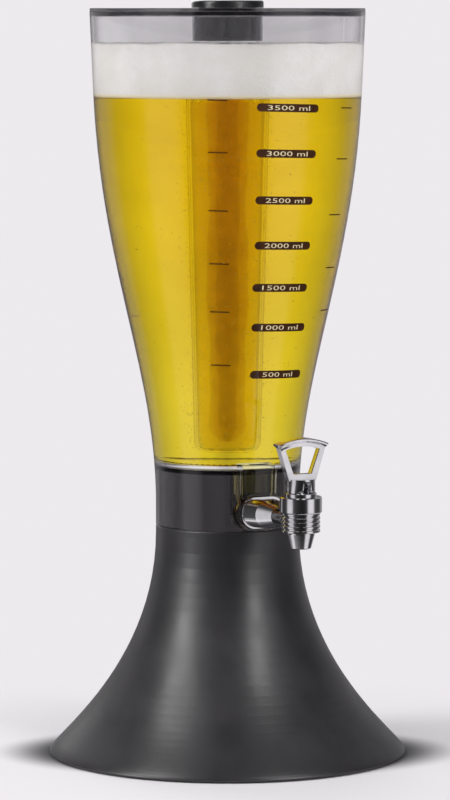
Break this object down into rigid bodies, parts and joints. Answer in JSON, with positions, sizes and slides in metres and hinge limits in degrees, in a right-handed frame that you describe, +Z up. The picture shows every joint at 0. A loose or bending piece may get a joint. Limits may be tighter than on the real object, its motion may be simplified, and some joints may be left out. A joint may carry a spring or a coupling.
{
  "type": "beer tower dispenser",
  "caption": "Clear flared drink tower with a central ice tube, a lid and a sprung lever tap, on a dark flared pedestal.",
  "frame": {"origin": "centre of the pedestal's underside, on the table", "axes": "+Z up along the tower's axis, the tap points to -Y"},
  "size_m": [0.2428, 0.2428, 0.511],
  "materials": {
    "pedestal_plastic": "satin, dark grey",
    "pad_rubber": "matt, black",
    "clear_plastic": "clear, polished",
    "lid_plastic": "clear, polished",
    "cap_plastic": "semi-gloss, black",
    "chrome": "polished plate",
    "seal_rubber": "smooth",
    "silicone": "translucent white",
    "steel": "bright"
  },
  "bodies": {
    "base": {"pedestal": "pedestal_plastic", "foot_pads": "pad_rubber"},
    "vessel": {"vessel": "clear_plastic", "tap_body": "chrome", "flange_gasket": "seal_rubber", "inner_washer": "seal_rubber", "lock_nut": "chrome", "bonnet": "chrome", "bonnet_seal": "seal_rubber", "stem_seal": "seal_rubber", "spring": "steel", "spout": "chrome", "spout_washer": "seal_rubber"},
    "lid": {"lid": "lid_plastic"},
    "ice_tube": {"ice_tube": "clear_plastic"},
    "tube_cap": {"tube_cap": "cap_plastic", "cap_seal": "silicone"},
    "stem": {"stem": "steel", "seat_cup": "silicone"},
    "lever": {"lever": "chrome", "pivot_pin": "steel"}
  },
  "joints": [
    {"name": "vessel_lift", "type": "slide", "parent": "base", "child": "vessel", "axis": [0, 0, 1], "range_m": [0, 0.06]},
    {"name": "lid_lift", "type": "slide", "parent": "vessel", "child": "lid", "axis": [0, 0, 1], "range_m": [0, 0.31]},
    {"name": "tube_lift", "type": "slide", "parent": "lid", "child": "ice_tube", "axis": [0, 0, 1], "range_m": [0, 0.31]},
    {"name": "cap_pull", "type": "slide", "parent": "ice_tube", "child": "tube_cap", "axis": [0, 0, 1], "range_m": [0, 0.03]},
    {"name": "stem_lift", "type": "slide", "parent": "vessel", "child": "stem", "axis": [0, 0, 1], "range_m": [0, 0.0025], "stiffness_N_per_m": 1000, "springref_m": -0.003, "deforming": ["spring"]},
    {"name": "lever_tilt", "type": "hinge", "parent": "stem", "child": "lever", "pos_m": [0, -0.106, 0.1936], "axis": [1, 0, 0], "range_deg": [0, 28.65]}
  ],
  "couplings": [
    {"joint": "lever_tilt", "follows": "stem_lift", "rad_per_m": 200}
  ]
}
